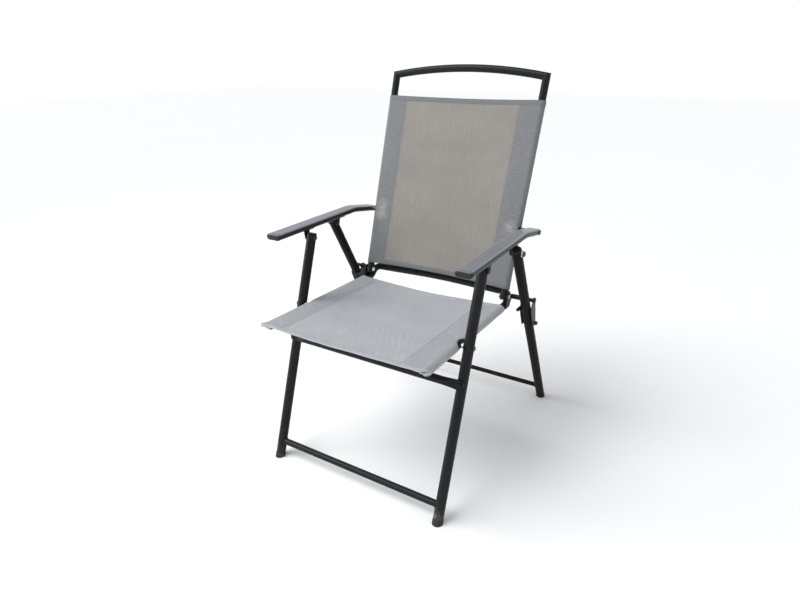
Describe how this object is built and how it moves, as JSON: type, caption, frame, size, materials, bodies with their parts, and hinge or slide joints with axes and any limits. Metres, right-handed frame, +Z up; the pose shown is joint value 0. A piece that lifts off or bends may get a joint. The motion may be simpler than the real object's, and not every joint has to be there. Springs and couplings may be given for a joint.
{
  "type": "folding chair",
  "caption": "Folding armchair with a painted tubular steel frame, fabric sling seat and back, and flat metal armrests; folds flat for storage.",
  "frame": {"origin": "on the floor, in the middle of the chair's footprint box", "axes": "+X across the chair to the sitter's left hand side, -Y is the front, +Z up"},
  "size_m": [0.5712, 0.6818, 0.9471],
  "materials": {
    "frame_paint": "satin powder coat",
    "arm_paint": "satin powder coat, rubbed lighter on top",
    "black_plastic": "moulded, matte",
    "zinc_steel": "zinc plated",
    "rivet_steel": "dark steel, slightly worn",
    "seat_fabric": "woven mesh textile",
    "back_fabric": "woven mesh textile, slightly see-through"
  },
  "bodies": {
    "front_frame": {"front_leg_right": "frame_paint", "front_leg_left": "frame_paint", "front_foot_plugs": "black_plastic", "front_leg_caps": "black_plastic", "front_lower_bar": "frame_paint", "front_upper_bar": "frame_paint", "front_bar_rivets": "frame_paint", "seat_pivot_rivets": "rivet_steel", "seat_pivot_spacers": "zinc_steel"},
    "seat": {"seat_frame": "frame_paint", "seat_tube_plugs": "black_plastic", "seat_hinge_ears": "frame_paint", "back_hinge_rivets": "zinc_steel", "guide_axles": "frame_paint", "seat_sling": "seat_fabric"},
    "back": {"back_tube_right": "frame_paint", "back_tube_left": "frame_paint", "back_top_rail": "frame_paint", "back_tube_plugs": "black_plastic", "back_sling": "back_fabric"},
    "rear_frame": {"rear_leg_right": "frame_paint", "rear_leg_left": "frame_paint", "rear_foot_plugs": "black_plastic", "rear_leg_caps": "black_plastic", "rear_lower_bar": "frame_paint"},
    "arm_right": {"arm_right": "arm_paint", "arm_end_caps_right": "black_plastic", "arm_front_hanger_right": "frame_paint", "arm_rear_hanger_right": "frame_paint", "front_leg_rivet_right": "rivet_steel", "rear_leg_rivet_right": "rivet_steel", "rear_leg_washer_right": "zinc_steel", "back_rivet_right": "rivet_steel", "back_rivet_spacer_right": "rivet_steel"},
    "guide_right": {"guide_inner_plate_right": "frame_paint", "guide_outer_plate_right": "frame_paint", "guide_front_pin_right": "frame_paint", "guide_glide_pad_right": "black_plastic", "guide_glide_rivets_right": "rivet_steel"},
    "arm_left": {"arm_left": "arm_paint", "arm_end_caps_left": "black_plastic", "arm_front_hanger_left": "frame_paint", "arm_rear_hanger_left": "frame_paint", "front_leg_rivet_left": "rivet_steel", "rear_leg_rivet_left": "rivet_steel", "rear_leg_washer_left": "zinc_steel", "back_rivet_left": "rivet_steel", "back_rivet_spacer_left": "rivet_steel"},
    "guide_left": {"guide_inner_plate_left": "frame_paint", "guide_outer_plate_left": "frame_paint", "guide_front_pin_left": "frame_paint", "guide_glide_pad_left": "black_plastic", "guide_glide_rivets_left": "rivet_steel"}
  },
  "joints": [
    {"name": "seat_fold", "type": "hinge", "parent": "front_frame", "child": "seat", "pos_m": [0, -0.17174, 0.387], "axis": [-1, 0, 0], "range_deg": [0, 98]},
    {"name": "back_fold", "type": "hinge", "parent": "seat", "child": "back", "pos_m": [0, 0.0985, 0.4035], "axis": [1, 0, 0], "range_deg": [0, 98]},
    {"name": "arm_fold_right", "type": "hinge", "parent": "front_frame", "child": "arm_right", "pos_m": [0, -0.117, 0.549], "axis": [-1, 0, 0], "range_deg": [0, 98]},
    {"name": "arm_fold_left", "type": "hinge", "parent": "front_frame", "child": "arm_left", "pos_m": [0, -0.117, 0.549], "axis": [-1, 0, 0], "range_deg": [0, 98]},
    {"name": "rear_leg_fold", "type": "hinge", "parent": "arm_right", "child": "rear_frame", "pos_m": [0, 0.011, 0.5535], "axis": [1, 0, 0], "range_deg": [0, 52.82]},
    {"name": "guide_turn_right", "type": "hinge", "parent": "seat", "child": "guide_right", "pos_m": [0, 0.1215, 0.398], "axis": [1, 0, 0], "range_deg": [0, 52.82]},
    {"name": "guide_turn_left", "type": "hinge", "parent": "seat", "child": "guide_left", "pos_m": [0, 0.1215, 0.398], "axis": [1, 0, 0], "range_deg": [0, 52.82]}
  ],
  "couplings": [
    {"joint": "back_fold", "follows": "seat_fold", "ratio": 1},
    {"joint": "arm_fold_right", "follows": "seat_fold", "ratio": 1},
    {"joint": "arm_fold_left", "follows": "seat_fold", "ratio": 1},
    {"joint": "rear_leg_fold", "follows": "seat_fold", "ratio": 0.538},
    {"joint": "guide_turn_right", "follows": "seat_fold", "ratio": 0.538},
    {"joint": "guide_turn_left", "follows": "seat_fold", "ratio": 0.538}
  ]
}
